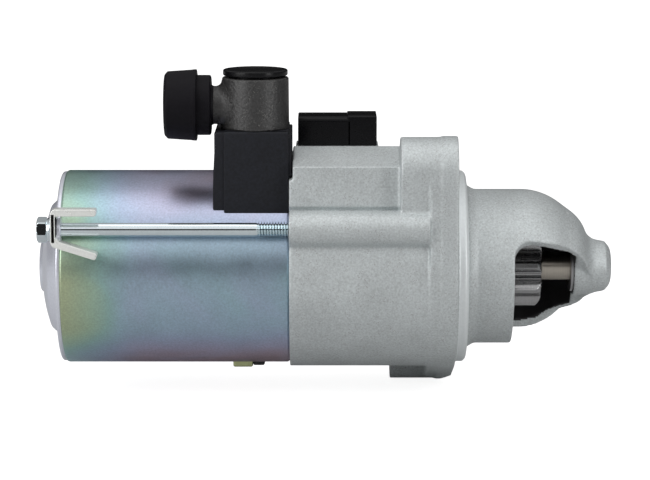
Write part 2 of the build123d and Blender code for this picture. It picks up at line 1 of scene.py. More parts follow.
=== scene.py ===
import json
import math
import bmesh
import bpy
import numpy as np
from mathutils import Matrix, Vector


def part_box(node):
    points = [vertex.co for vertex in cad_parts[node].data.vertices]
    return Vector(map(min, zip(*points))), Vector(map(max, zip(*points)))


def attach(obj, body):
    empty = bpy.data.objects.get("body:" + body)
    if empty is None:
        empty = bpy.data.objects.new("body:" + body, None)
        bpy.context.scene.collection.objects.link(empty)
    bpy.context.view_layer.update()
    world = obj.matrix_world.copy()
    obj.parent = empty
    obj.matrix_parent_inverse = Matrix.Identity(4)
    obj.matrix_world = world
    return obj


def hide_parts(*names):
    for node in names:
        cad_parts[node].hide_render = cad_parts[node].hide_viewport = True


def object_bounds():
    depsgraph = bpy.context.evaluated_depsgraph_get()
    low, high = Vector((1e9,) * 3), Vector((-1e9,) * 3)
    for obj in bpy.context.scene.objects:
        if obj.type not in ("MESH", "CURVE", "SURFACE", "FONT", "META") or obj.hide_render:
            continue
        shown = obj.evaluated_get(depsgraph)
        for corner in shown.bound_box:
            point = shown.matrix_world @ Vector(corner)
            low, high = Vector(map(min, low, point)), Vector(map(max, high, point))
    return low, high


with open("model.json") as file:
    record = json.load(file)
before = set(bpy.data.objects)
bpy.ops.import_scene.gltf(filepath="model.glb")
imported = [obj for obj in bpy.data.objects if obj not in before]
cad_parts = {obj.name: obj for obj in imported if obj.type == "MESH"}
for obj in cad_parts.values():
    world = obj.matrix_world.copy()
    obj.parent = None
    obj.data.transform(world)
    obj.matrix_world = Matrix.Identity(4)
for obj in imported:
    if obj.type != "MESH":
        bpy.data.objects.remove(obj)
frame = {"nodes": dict(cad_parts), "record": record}        # the nodes and the imported record
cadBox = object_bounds()
mm = 0.001
weldGap = 1e-3 * mm                   # points nearer than this are joined
print("frame loaded:", len(frame["nodes"]), "nodes")


# ---- camera, light and floor

studio = {
    "target": (-46.9, 0.0, 9.5),      # mm, the point the camera looks at
    "distance": 948,                  # mm
    "elevation": 9.5,                 # degrees
    "lens": 144.0,
    "clipStart": 0.05,                # m
    "floorGap": 0.4,                  # mm under the lowest point
    "floorHalfSide": 6.0,             # m
    "floorColor": (0.56, 0.56, 0.56),
    "floorRoughness": 0.9,
    "floorGlow": 0.88,                # only the camera sees it, so it lights nothing
    "skyFront": (0.0, -0.80, 0.60),   # the way to the brightest part of the sky
    # (place, grey) stops, from behind to in front and from straight down to straight up
    "sky": [(0.0, 0.12), (0.38, 0.30), (0.60, 0.52), (1.0, 0.84)],
    "band": [(0.0, 1.0), (0.50, 1.0), (0.52, 0.02), (0.66, 0.02), (0.72, 1.0), (1.0, 1.0)],
    "lights": [
        # name, place (mm), aimed at (mm), size (mm), watts
        ("softboxTop", (-80, -90, 650), (-45, 0, 10), (700, 340), 0.55),
        ("softboxLeft", (-620, -420, 260), (-60, 0, 0), (420, 520), 1.9),
        ("softboxRight", (470, -460, 180), (20, 0, 0), (220, 380), 0.9),
    ],
}


def aimed(place, target):
    # the turn that points -Z from place to target, with Y kept up
    return (Vector(target) - Vector(place)).to_track_quat("-Z", "Y").to_euler()


def addCamera():
    data = bpy.data.cameras.new("camera")
    data.lens = studio["lens"]
    data.clip_start = studio["clipStart"]
    camera = bpy.data.objects.new("camera", data)
    bpy.context.scene.collection.objects.link(camera)
    tilt = math.radians(studio["elevation"])
    target = Vector(studio["target"]) * mm
    outward = Vector((0, -math.cos(tilt), math.sin(tilt)))
    camera.location = target + outward * studio["distance"] * mm
    camera.rotation_euler = aimed(camera.location, target)
    bpy.context.scene.camera = camera


def addLights():
    for name, place, target, size, power in studio["lights"]:
        data = bpy.data.lights.new(name, "AREA")
        data.shape = "RECTANGLE"
        data.size, data.size_y = (side * mm for side in size)
        data.energy = power
        light = bpy.data.objects.new(name, data)
        light.location = Vector(place) * mm
        light.rotation_euler = aimed(light.location, Vector(target) * mm)
        bpy.context.scene.collection.objects.link(light)


def addSky():
    # white to the camera; elsewhere brightest in front and above, with a dim band over the horizon
    world = bpy.data.worlds.new("studioSky")
    world.use_nodes = True
    tree = world.node_tree
    background = tree.nodes["Background"]
    ways = addNode(tree, "ShaderNodeTexCoord")
    split = addNode(tree, "ShaderNodeSeparateXYZ")
    facing = addNode(tree, "ShaderNodeVectorMath", operation="DOT_PRODUCT")
    facing.inputs[1].default_value = studio["skyFront"]
    tree.links.new(ways.outputs["Generated"], facing.inputs[0])
    tree.links.new(ways.outputs["Generated"], split.inputs[0])
    ramps = []
    for source, stops in ((facing.outputs["Value"], "sky"), (split.outputs["Z"], "band")):
        shift = addNode(tree, "ShaderNodeMapRange")
        shift.inputs["From Min"].default_value = -1.0
        ramp = addNode(tree, "ShaderNodeValToRGB")
        setRamp(ramp, studio[stops])
        tree.links.new(source, shift.inputs["Value"])
        tree.links.new(shift.outputs[0], ramp.inputs[0])
        ramps.append(ramp.outputs[0])
    light = mixColor(tree, 1.0, ramps[0], ramps[1], "MULTIPLY")
    seen = addNode(tree, "ShaderNodeLightPath")
    tree.links.new(mixColor(tree, seen.outputs["Is Camera Ray"], light, (1.0, 1.0, 1.0)),
                   background.inputs["Color"])
    bpy.context.scene.world = world


def addFloor():
    level = cadBox[0][2] - studio["floorGap"] * mm
    side = studio["floorHalfSide"]
    corners = [(-side, -side, level), (side, -side, level),
               (side, side, level), (-side, side, level)]
    mesh = bpy.data.meshes.new("floor")
    mesh.from_pydata(corners, [], [(0, 1, 2, 3)])
    floor = bpy.data.objects.new("floor", mesh)
    bpy.context.scene.collection.objects.link(floor)
    material, tree, shader = newMaterial("floorPaper", studio["floorColor"], 0.0,
                                         studio["floorRoughness"])
    shader.inputs["Emission Color"].default_value = (1, 1, 1, 1)
    seen = addNode(tree, "ShaderNodeLightPath")
    glow = mathNode(tree, "MULTIPLY", seen.outputs["Is Camera Ray"], studio["floorGlow"])
    tree.links.new(glow, shader.inputs["Emission Strength"])
    mesh.materials.append(material)


# ---- shader building blocks

def addNode(tree, kind, **settings):
    node = tree.nodes.new(kind)
    for key, value in settings.items():
        setattr(node, key, value)
    return node


def setRamp(ramp, stops):
    # stops are (place, grey) or (place, (r, g, b))
    elements = ramp.color_ramp.elements
    while len(elements) < len(stops):
        elements.new(1.0)
    for element, (place, value) in zip(elements, stops):
        color = (value,) * 3 if isinstance(value, float) else value
        element.position = place
        element.color = (*color, 1)


def newMaterial(name, color, metallic, roughness, **sockets):
    material = bpy.data.materials.new(name)
    material.use_nodes = True
    shader = material.node_tree.nodes["Principled BSDF"]
    shader.inputs["Base Color"].default_value = (*color, 1)
    shader.inputs["Metallic"].default_value = metallic
    shader.inputs["Roughness"].default_value = roughness
    for label, value in sockets.items():
        shader.inputs[label.replace("_", " ")].default_value = value
    return material, material.node_tree, shader


def newGroup(name, inputs, outputs):
    group = bpy.data.node_groups.new(name, "ShaderNodeTree")
    kinds = {"color": "NodeSocketColor", "value": "NodeSocketFloat"}
    for label, kind, value in inputs:
        socket = group.interface.new_socket(label, in_out="INPUT", socket_type=kinds[kind])
        socket.default_value = (*value, 1) if kind == "color" else value
    for label, kind in outputs:
        group.interface.new_socket(label, in_out="OUTPUT", socket_type=kinds[kind])
    return group, addNode(group, "NodeGroupInput"), addNode(group, "NodeGroupOutput")


def useGroup(tree, group, **values):
    node = addNode(tree, "ShaderNodeGroup")
    node.node_tree = group
    for label, value in values.items():
        socket = node.inputs[label.replace("_", " ")]
        socket.default_value = (*value, 1) if socket.type == "RGBA" else value
    return node


def mathNode(tree, operation, first, second=None, clamp=False):
    node = addNode(tree, "ShaderNodeMath", operation=operation, use_clamp=clamp)
    for socket, value in zip(node.inputs, (first, second)):
        if value is None:
            continue
        if isinstance(value, (int, float)):
            socket.default_value = value
        else:
            tree.links.new(value, socket)
    return node.outputs[0]


def mixColor(tree, factor, first, second, blend="MIX"):
    node = addNode(tree, "ShaderNodeMix", data_type="RGBA", blend_type=blend)
    for label, value in (("Factor", factor), ("A", first), ("B", second)):
        socket = [s for s in node.inputs if s.name == label and s.enabled][0]
        if isinstance(value, bpy.types.NodeSocket):
            tree.links.new(value, socket)
        elif isinstance(value, tuple):
            socket.default_value = (*value, 1)
        else:
            socket.default_value = value
    return [s for s in node.outputs if s.enabled][0]


def addBump(tree, shader, height, strength, distance):
    bump = addNode(tree, "ShaderNodeBump")
    bump.inputs["Strength"].default_value = strength
    bump.inputs["Distance"].default_value = distance * mm
    tree.links.new(height, bump.inputs["Height"])
    tree.links.new(bump.outputs[0], shader.inputs["Normal"])


grainNoise = {"fineShare": 0.72, "coarseShare": 0.28, "fineDetail": 3.0, "coarseDetail": 4.0}
speckPatches = {"scale": 0.21, "level": 0.56}       # scale is a share of the spots' own scale
turningTone = {"low": 0.85, "swing": 0.3}
wearAndShadeNoise = {"scale": 260.0, "gain": 1.6}
platingHues = [                       # olive, green, blue, lilac and plum
    (0.0, (0.52, 0.60, 0.26)), (0.14, (0.40, 0.60, 0.36)), (0.30, (0.30, 0.57, 0.50)),
    (0.46, (0.34, 0.54, 0.66)), (0.60, (0.41, 0.50, 0.72)), (0.74, (0.51, 0.47, 0.69)),
    (0.88, (0.58, 0.38, 0.49)), (1.0, (0.62, 0.34, 0.34)),
]


def buildGrain():
    # colour = base x (1 + contrast x (mixed noise - 0.5)); roughness follows the coarse noise
    group, given, result = newGroup(
        "surfaceGrain",
        [("Base Color", "color", (0.5, 0.5, 0.5)), ("Contrast", "value", 0.3),
         ("Base Roughness", "value", 0.5), ("Roughness Spread", "value", 0.1),
         ("Fine Scale", "value", 1500.0), ("Coarse Scale", "value", 60.0)],
        [("Color", "color"), ("Roughness", "value"), ("Height", "value")])
    ways = addNode(group, "ShaderNodeTexCoord")
    noises = []
    for label, detail in (("Fine Scale", "fineDetail"), ("Coarse Scale", "coarseDetail")):
        noise = addNode(group, "ShaderNodeTexNoise")
        noise.inputs["Detail"].default_value = grainNoise[detail]
        group.links.new(ways.outputs["Object"], noise.inputs["Vector"])
        group.links.new(given.outputs[label], noise.inputs["Scale"])
        noises.append(noise.outputs[0])
    fine, coarse = noises
    fineShare = mathNode(group, "MULTIPLY", fine, grainNoise["fineShare"])
    coarseShare = mathNode(group, "MULTIPLY", coarse, grainNoise["coarseShare"])
    swing = mathNode(group, "SUBTRACT", mathNode(group, "ADD", fineShare, coarseShare), 0.5)
    tone = mathNode(group, "MULTIPLY", swing, given.outputs["Contrast"])
    tone = mathNode(group, "ADD", tone, 1.0)
    grey = addNode(group, "ShaderNodeCombineColor")
    for socket in grey.inputs:
        group.links.new(tone, socket)
    tinted = mixColor(group, 1.0, given.outputs["Base Color"], grey.outputs[0], "MULTIPLY")
    group.links.new(tinted, result.inputs["Color"])
    spread = mathNode(group, "MULTIPLY", mathNode(group, "SUBTRACT", coarse, 0.5),
                      given.outputs["Roughness Spread"])
    group.links.new(mathNode(group, "ADD", given.outputs["Base Roughness"], spread, clamp=True),
                    result.inputs["Roughness"])
    group.links.new(fine, result.inputs["Height"])
    return group


def buildSpecks():
    # a mask of 1 inside sparse spots, where the distance to a random point is under the size
    group, given, result = newGroup(
        "specks", [("Scale", "value", 300.0), ("Size", "value", 0.15)], [("Mask", "value")])
    ways = addNode(group, "ShaderNodeTexCoord")
    cells = addNode(group, "ShaderNodeTexVoronoi")
    wide = addNode(group, "ShaderNodeTexNoise")
    group.links.new(ways.outputs["Object"], cells.inputs["Vector"])
    group.links.new(ways.outputs["Object"], wide.inputs["Vector"])
    group.links.new(given.outputs["Scale"], cells.inputs["Scale"])
    patchScale = mathNode(group, "MULTIPLY", given.outputs["Scale"], speckPatches["scale"])
    group.links.new(patchScale, wide.inputs["Scale"])
    near = mathNode(group, "LESS_THAN", cells.outputs["Distance"], given.outputs["Size"])
    chosen = mathNode(group, "GREATER_THAN", wide.outputs[0], speckPatches["level"])
    group.links.new(mathNode(group, "MULTIPLY", near, chosen), result.inputs["Mask"])
    return group


def buildTurning():
    # rings round the shaft axis: a one-dimensional noise of the place along it
    group, given, result = newGroup("turningMarks", [("Rings", "value", 3000.0)],
                                    [("Height", "value"), ("Tone", "value")])
    ways = addNode(group, "ShaderNodeTexCoord")
    split = addNode(group, "ShaderNodeSeparateXYZ")
    noise = addNode(group, "ShaderNodeTexNoise", noise_dimensions="1D")
    noise.inputs["Scale"].default_value = 1.0
    noise.inputs["Detail"].default_value = 2.0
    group.links.new(ways.outputs["Object"], split.inputs[0])
    rings = mathNode(group, "MULTIPLY", split.outputs["X"], given.outputs["Rings"])
    group.links.new(rings, noise.inputs["W"])
    group.links.new(noise.outputs[0], result.inputs["Height"])
    swing = mathNode(group, "MULTIPLY", noise.outputs[0], turningTone["swing"])
    tone = mathNode(group, "ADD", swing, turningTone["low"])
    group.links.new(tone, result.inputs["Tone"])
    return group


def buildWearAndShadeMask():
    # how far the mesh's pointiness is past a level, broken up by noise; it marks worn edges, and turned
    # over it marks recesses for painted shade
    group, given, result = newGroup(
        "edgeWearAndRecessShade", [("Level", "value", 0.54), ("Width", "value", 0.04)], [("Mask", "value")])
    shape = addNode(group, "ShaderNodeNewGeometry")
    ways = addNode(group, "ShaderNodeTexCoord")
    noise = addNode(group, "ShaderNodeTexNoise")
    noise.inputs["Scale"].default_value = wearAndShadeNoise["scale"]
    group.links.new(ways.outputs["Object"], noise.inputs["Vector"])
    above = mathNode(group, "SUBTRACT", shape.outputs["Pointiness"], given.outputs["Level"])
    edge = mathNode(group, "DIVIDE", above, given.outputs["Width"], clamp=True)
    broken = mathNode(group, "MULTIPLY", noise.outputs[0], wearAndShadeNoise["gain"], clamp=True)
    group.links.new(mathNode(group, "MULTIPLY", edge, broken), result.inputs["Mask"])
    return group


def buildPlating():
    # thin-film colours: phase plus slow noise picks a hue from a ramp, mixed over the base
    group, given, result = newGroup(
        "platingHue",
        [("Base Color", "color", (0.5, 0.5, 0.5)), ("Phase", "value", 0.5),
         ("Spread", "value", 0.3), ("Strength", "value", 0.5), ("Scale", "value", 22.0)],
        [("Color", "color")])
    ways = addNode(group, "ShaderNodeTexCoord")
    noise = addNode(group, "ShaderNodeTexNoise")
    noise.inputs["Detail"].default_value = 3.0
    noise.inputs["Distortion"].default_value = 0.6
    group.links.new(ways.outputs["Object"], noise.inputs["Vector"])
    group.links.new(given.outputs["Scale"], noise.inputs["Scale"])
    drift = mathNode(group, "MULTIPLY", mathNode(group, "SUBTRACT", noise.outputs[0], 0.5),
                     given.outputs["Spread"])
    phase = mathNode(group, "ADD", given.outputs["Phase"], drift, clamp=True)
    ramp = addNode(group, "ShaderNodeValToRGB")
    setRamp(ramp, platingHues)
    group.links.new(phase, ramp.inputs[0])
    hue = mixColor(group, given.outputs["Strength"], given.outputs["Base Color"], ramp.outputs[0])
    group.links.new(hue, result.inputs["Color"])
    return group


grainGroup = buildGrain()
speckGroup = buildSpecks()
turningGroup = buildTurning()
wearAndShadeGroup = buildWearAndShadeMask()
platingGroup = buildPlating()
print("shader groups built")


# ---- materials

def grained(name, color, metallic, roughness, contrast=0.3, fine=1500.0, coarse=60.0, bump=0.3,
            depth=0.05, wear=None, specks=None, **sockets):
    # colour, roughness and bump come from the grain group, with optional edge wear and specks
    material, tree, shader = newMaterial(name, color, metallic, roughness, **sockets)
    grain = useGroup(tree, grainGroup, Base_Color=color, Contrast=contrast,
                     Base_Roughness=roughness, Roughness_Spread=0.12, Fine_Scale=fine,
                     Coarse_Scale=coarse)
    tint = grain.outputs["Color"]
    if specks:
        spots = useGroup(tree, speckGroup, Scale=specks["scale"], Size=specks["size"])
        tint = mixColor(tree, spots.outputs["Mask"], tint, specks["color"])
    if wear:
        edges = useGroup(tree, wearAndShadeGroup, Level=wear["level"], Width=wear["width"])
        tint = mixColor(tree, edges.outputs["Mask"], tint, wear["color"])
    tree.links.new(tint, shader.inputs["Base Color"])
    tree.links.new(grain.outputs["Roughness"], shader.inputs["Roughness"])
    addBump(tree, shader, grain.outputs["Height"], bump, depth)
    return material


def turned(name, color, metallic, roughness, rings, bump=0.25):
    # machined metal: rings along the axis move its tone and its bump
    material, tree, shader = newMaterial(name, color, metallic, roughness)
    marks = useGroup(tree, turningGroup, Rings=rings)
    grain = useGroup(tree, grainGroup, Base_Color=color, Contrast=0.18, Base_Roughness=roughness,
                     Roughness_Spread=0.15, Fine_Scale=900.0, Coarse_Scale=70.0)
    grey = addNode(tree, "ShaderNodeCombineColor")
    for socket in grey.inputs:
        tree.links.new(marks.outputs["Tone"], socket)
    tinted = mixColor(tree, 1.0, grain.outputs["Color"], grey.outputs[0], "MULTIPLY")
    tree.links.new(tinted, shader.inputs["Base Color"])
    tree.links.new(grain.outputs["Roughness"], shader.inputs["Roughness"])
    addBump(tree, shader, marks.outputs["Height"], bump, 0.02)
    return material


def plated(name, color, phase, spread, strength, roughness, bump=0.15, metallic=1.0, recessShade=None):
    # zinc plating: thin-film hue over fine grain; an optional painted shade darkens the recesses
    material, tree, shader = newMaterial(name, color, metallic, roughness)
    hue = useGroup(tree, platingGroup, Base_Color=color, Phase=phase, Spread=spread,
                   Strength=strength, Scale=22.0)
    grain = useGroup(tree, grainGroup, Contrast=0.25, Base_Roughness=roughness,
                     Roughness_Spread=0.12, Fine_Scale=1500.0, Coarse_Scale=80.0)
    tree.links.new(hue.outputs["Color"], grain.inputs["Base Color"])
    tint = grain.outputs["Color"]
    if recessShade:
        # painted shade: a negative width turns the edge mask over, so it marks pointiness under the level,
        # the recesses
        recess = useGroup(tree, wearAndShadeGroup, Level=recessShade["level"], Width=-recessShade["width"])
        tint = mixColor(tree, recess.outputs["Mask"], tint, recessShade["color"])
    tree.links.new(tint, shader.inputs["Base Color"])
    tree.links.new(grain.outputs["Roughness"], shader.inputs["Roughness"])
    addBump(tree, shader, grain.outputs["Height"], bump, 0.02)
    return material


castColors = {
    "skin": (0.625, 0.66, 0.665),
    # painted shade: near-black colour for the casting's inner faces, standing in for the shadow inside the
    # nose and the bore
    "inside": (0.035, 0.034, 0.036),
    "edge": (0.80, 0.81, 0.82),
    "pit": (0.47, 0.475, 0.48),
}

yokeFinish = {
    "base": (0.55, 0.62, 0.66),
    "rearPhase": 0.02,                # olive at the rear rim
    "frontPhase": 0.50,               # blue-green towards the housing
    "topReflectionPhase": 0.24,                 # painted reflection: lilac on top, added to the phase there
    "underReflectionPhase": 0.36,               # painted reflection: plum underneath
    "along": (-2.0, 32.0),            # mm from the rear rim, where the phase rises
    "top": (0.35, 0.85),              # height in yoke radii, where the painted top reflection's share rises
    # height in yoke radii, where the painted underside reflection's share rises
    "under": (-0.45, -0.95),
    "hueSpread": 0.42,
    "hueStrength": 0.66,
    "hueScale": 30.0,
    "contrast": 0.75,
    "roughness": 0.37,
    "roughnessSpread": 0.14,
    "coarseScale": 90.0,
}


def yokePlatingAndReflection():
    # phase = a ramp along the tube, plus painted reflection hues on the top and the underside, before the
    # noise
    finish = yokeFinish
    material, tree, shader = newMaterial("yokePlatingAndReflection", finish["base"], 1.0, 0.34)
    ways = addNode(tree, "ShaderNodeTexCoord")
    split = addNode(tree, "ShaderNodeSeparateXYZ")
    tree.links.new(ways.outputs["Object"], split.inputs[0])
    low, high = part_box("yoke")
    radius = high[2]

    def share(output, start, end, amount):
        node = addNode(tree, "ShaderNodeMapRange", interpolation_type="SMOOTHSTEP")
        node.inputs["From Min"].default_value = start
        node.inputs["From Max"].default_value = end
        node.inputs["To Max"].default_value = amount
        tree.links.new(output, node.inputs["Value"])
        return node.outputs[0]

    along = share(split.outputs["X"], *(low[0] + place * mm for place in finish["along"]),
                  finish["frontPhase"])
    # painted reflection: the hue shifts by height, lilac on top and plum underneath, standing in for the
    # studio seen in the tube
    top = share(split.outputs["Z"], *(part * radius for part in finish["top"]), finish["topReflectionPhase"])
    under = share(split.outputs["Z"], *(part * radius for part in finish["under"]),
                  finish["underReflectionPhase"])
    phase = mathNode(tree, "ADD", mathNode(tree, "ADD", along, top), under)
    phase = mathNode(tree, "ADD", phase, finish["rearPhase"])
    hue = useGroup(tree, platingGroup, Base_Color=finish["base"], Spread=finish["hueSpread"],
                   Strength=finish["hueStrength"], Scale=finish["hueScale"])
    tree.links.new(phase, hue.inputs["Phase"])
    grain = useGroup(tree, grainGroup, Contrast=finish["contrast"],
                     Base_Roughness=finish["roughness"], Roughness_Spread=finish["roughnessSpread"],
                     Fine_Scale=1500.0, Coarse_Scale=finish["coarseScale"])
    tree.links.new(hue.outputs["Color"], grain.inputs["Base Color"])
    tree.links.new(grain.outputs["Color"], shader.inputs["Base Color"])
    tree.links.new(grain.outputs["Roughness"], shader.inputs["Roughness"])
    addBump(tree, shader, grain.outputs["Height"], 0.22, 0.03)
    return material


def buildMaterials():
    edge = {"level": 0.53, "width": 0.06, "color": castColors["edge"]}
    pits = {"scale": 1400.0, "size": 0.26, "color": castColors["pit"]}
    glints = {"scale": 1500.0, "size": 0.27, "color": (0.10, 0.098, 0.092)}
    # painted shade: a dark blue-grey in the bolts' recesses and thread roots, standing in for shadow
    recessShade = {"level": 0.48, "width": 0.06, "color": (0.05, 0.09, 0.10)}
    return {
        "castAluminium": grained("castAluminium", castColors["skin"], 0.66, 0.58, contrast=0.95,
                                 coarse=70.0, bump=0.5, depth=0.09, wear=edge, specks=pits),
        # the dark inside of the casting is painted shade
        "castInsidePaintedShade": grained("castInsidePaintedShade", castColors["inside"], 0.4, 0.6, contrast=0.4, bump=0.4),
        "machinedAluminium": turned("machinedAluminium", (0.86, 0.90, 0.91), 0.4, 0.45, 5200.0),
        # the yoke's plating carries painted reflection hues on its top and underside
        "yokePlatingAndReflection": yokePlatingAndReflection(),
        "coverPlating": plated("coverPlating", (0.90, 0.91, 0.96), 0.64, 0.5, 0.20, 0.32,
                               metallic=0.6),
        "clipPlating": plated("clipPlating", (0.97, 0.97, 0.95), 0.10, 0.3, 0.05, 0.28,
                              metallic=0.35),
        # the bolts' recesses carry painted shade
        "boltPlatingAndShade": plated("boltPlatingAndShade", (0.86, 0.93, 0.96), 0.44, 0.2, 0.10, 0.08, bump=0.02,
                              recessShade=recessShade),
        "olivePlating": plated("olivePlating", (0.56, 0.52, 0.34), 0.06, 0.3, 0.55, 0.36),
        "pinionSteel": turned("pinionSteel", (0.40, 0.40, 0.405), 1.0, 0.26, 2600.0),
        "groundSteel": turned("groundSteel", (0.52, 0.48, 0.42), 1.0, 0.30, 4200.0),
        "machinedSteel": turned("machinedSteel", (0.46, 0.46, 0.47), 1.0, 0.36, 3000.0),
        "springWire": turned("springWire", (0.40, 0.40, 0.42), 1.0, 0.30, 1500.0),
        "bronze": grained("bronze", (0.50, 0.34, 0.17), 1.0, 0.42, contrast=0.5, fine=2600.0),
        "copper": grained("copper", (0.74, 0.38, 0.24), 1.0, 0.32, contrast=0.25, fine=900.0),
        "laminations": turned("laminations", (0.24, 0.24, 0.25), 1.0, 0.42, 6000.0, bump=0.6),
        "ferrite": grained("ferrite", (0.045, 0.045, 0.05), 0.1, 0.62, contrast=0.7, fine=1200.0),
        "graphite": grained("graphite", (0.06, 0.055, 0.05), 0.5, 0.5, contrast=0.6, fine=2200.0),
        "phenolic": grained("phenolic", (0.10, 0.055, 0.03), 0.0, 0.45, contrast=0.4, fine=800.0),
        "blockPlastic": grained("blockPlastic", (0.0070, 0.008, 0.0125), 0.0, 0.62, contrast=2.4,
                                fine=1100.0, bump=0.55, depth=0.06, Specular_IOR_Level=0.35),
        "towerPlastic": grained("towerPlastic", (0.024, 0.023, 0.023), 0.0, 0.44, contrast=3.2,
                                fine=1100.0, bump=1.0, depth=0.2, Specular_IOR_Level=0.8,
                                specks=glints),
        "lidPlastic": grained("lidPlastic", (0.006, 0.006, 0.007), 0.0, 0.26, contrast=0.5,
                              fine=700.0, bump=0.12, Specular_IOR_Level=0.22),
        "capPlastic": grained("capPlastic", (0.0065, 0.0058, 0.0080), 0.0, 0.50, contrast=0.8,
                              fine=1300.0, bump=0.35, Specular_IOR_Level=0.12),
        "connectorPlastic": grained("connectorPlastic", (0.0045, 0.0045, 0.0055), 0.0, 0.24,
                                    contrast=0.4, fine=500.0, bump=0.06, Specular_IOR_Level=0.18),
        "sealRubber": grained("sealRubber", (0.03, 0.03, 0.03), 0.0, 0.7, contrast=0.5,
                              fine=1200.0),
    }


materials = buildMaterials()
slotMaterials = {
    "cast_aluminium": "castAluminium", "zinc_tube": "yokePlatingAndReflection", "zinc_cover": "coverPlating",
    "bright_zinc": "clipPlating", "olive_zinc": "olivePlating", "pinion_steel": "pinionSteel",
    "shaft_steel": "groundSteel", "clutch_steel": "machinedSteel", "spring_steel": "springWire",
    "bronze": "bronze", "copper": "copper", "laminations": "laminations", "ferrite": "ferrite",
    "graphite": "graphite", "phenolic": "phenolic", "block_plastic": "blockPlastic",
    "tower_plastic": "towerPlastic", "lid_plastic": "lidPlastic", "cap_rubber": "capPlastic",
    "connector_plastic": "connectorPlastic", "seal_rubber": "sealRubber",
}


def dressNodes():
    # every carried-over node takes the material of its slot in the record
    for part in frame["record"]["subparts"]:
        mesh = frame["nodes"][part["node"]].data
        mesh.materials.clear()
        mesh.materials.append(materials[slotMaterials[part["material_slot"]]])


dressNodes()
bpy.context.scene.view_settings.view_transform = "Standard"
addCamera()
addLights()
addSky()
addFloor()
print("materials and studio ready")


# ---- surface helpers

axisColumns = {"x": (0, 1, 2), "y": (1, 0, 2), "z": (2, 0, 1)}      # along, across, up


def placed(along, across, up, axis="x"):
    # puts the three arrays, in millimetres, into x, y, z columns in metres
    columns = [None] * 3
    for part, column in zip((along, across, up), axisColumns[axis]):
        columns[column] = part
    return np.stack(np.broadcast_arrays(*columns), axis=-1) * mm


def rectangle(left, right, low, high):
    return [(left, low), (right, low), (right, high), (left, high)]


def gridFaces(rows, cols, wrapRows=False):
    # a quad between each pair of neighbouring rows and columns; the last column joins the first
    r = np.arange(rows if wrapRows else rows - 1)[:, None]
    c = np.arange(cols)[None, :]
    nextR, nextC = (r + 1) % rows, (c + 1) % cols
    quads = np.stack([r * cols + c, r * cols + nextC, nextR * cols + nextC, nextR * cols + c], axis=-1)
    return quads.reshape(-1, 4).tolist()


def gridSurface(points, wrapRows=False, caps=(False, False)):
    rows, cols = points.shape[:2]
    faces = gridFaces(rows, cols, wrapRows)
    if caps[0]:
        faces.append(list(range(cols)))
    if caps[1]:
        faces.append(list(range((rows - 1) * cols, rows * cols)))
    return points.reshape(-1, 3), faces


def roundedOutline(corners, radius, steps=6):
    # each corner becomes an arc whose centre is on the bisector, radius / sin(half the corner) away
    corners = np.array(corners, float)
    radii = np.broadcast_to(np.array(radius, float), (len(corners),))
    points = []
    for i, (corner, r) in enumerate(zip(corners, radii)):
        if r <= 0:
            points.append(corner[None])
            continue
        back, ahead = corners[i - 1] - corner, corners[(i + 1) % len(corners)] - corner
        back, ahead = back / np.linalg.norm(back), ahead / np.linalg.norm(ahead)
        half = math.acos(float(np.clip(back @ ahead, -1, 1))) / 2
        middle = (back + ahead) / np.linalg.norm(back + ahead)
        centre = corner + middle * r / math.sin(half)
        start = corner + back * r / math.tan(half) - centre
        end = corner + ahead * r / math.tan(half) - centre
        first = math.atan2(start[1], start[0])
        sweep = (math.atan2(end[1], end[0]) - first + math.pi) % (2 * math.pi) - math.pi
        angles = first + sweep * np.linspace(0, 1, steps)
        points.append(centre + r * np.stack([np.cos(angles), np.sin(angles)], axis=-1))
    return np.concatenate(points)


def inset(outline, distance):
    # moves every point of a closed outline inwards, along the mitre of its two edges
    edge = np.roll(outline, -1, 0) - outline
    edge = edge / np.maximum(np.linalg.norm(edge, axis=1, keepdims=True), 1e-9)
    ahead = np.stack([-edge[:, 1], edge[:, 0]], axis=-1)
    back = np.roll(ahead, 1, 0)
    turn = 1 + np.sum(ahead * back, axis=1, keepdims=True)
    after = np.roll(outline, -1, 0)
    area = np.sum(outline[:, 0] * after[:, 1] - outline[:, 1] * after[:, 0])
    return outline + (ahead + back) / np.maximum(turn, 0.3) * distance * np.sign(area)


def roundedEnds(start, end, radius, steps=5):
    # (place, inset) pairs: a quarter round at each end of a straight run
    t = np.linspace(0, np.pi / 2, steps)
    place, depth = radius * (1 - np.cos(t)), radius * (1 - np.sin(t))
    way = np.sign(end - start)
    near = list(zip(start + way * place, depth))
    far = list(zip((end - way * place)[::-1], depth[::-1]))
    return near + far


def prismSurface(outline, levels, axis="x"):
    # an outline carried along an axis and drawn in at each level, closed at both ends
    rows = [placed(np.full(len(outline), place), *inset(outline, depth).T, axis)
            for place, depth in levels]
    return gridSurface(np.stack(rows), caps=(True, True))


def polar(along, radius, angle, centre=(0.0, 0.0), axis="x"):
    # the points at each radius and angle about an axis through centre
    across, up = centre[0] + radius * np.cos(angle), centre[1] + radius * np.sin(angle)
    return placed(along, across, up, axis)


def latheSurface(profile, centre=(0.0, 0.0), axis="x", segments=160):
    # a closed profile of (along, radius) points turned about an axis through centre
    profile = np.array(profile, float)
    angle = np.linspace(0, 2 * np.pi, segments, endpoint=False)
    return gridSurface(polar(profile[:, :1], profile[:, 1:], angle, centre, axis), wrapRows=True)


def slabSurface(levels):
    # a flat piece from (up, outline) levels, closed at both ends
    rows = [placed(ring[:, 0], ring[:, 1], np.full(len(ring), at)) for at, ring in levels]
    return gridSurface(np.stack(rows), caps=(True, True))


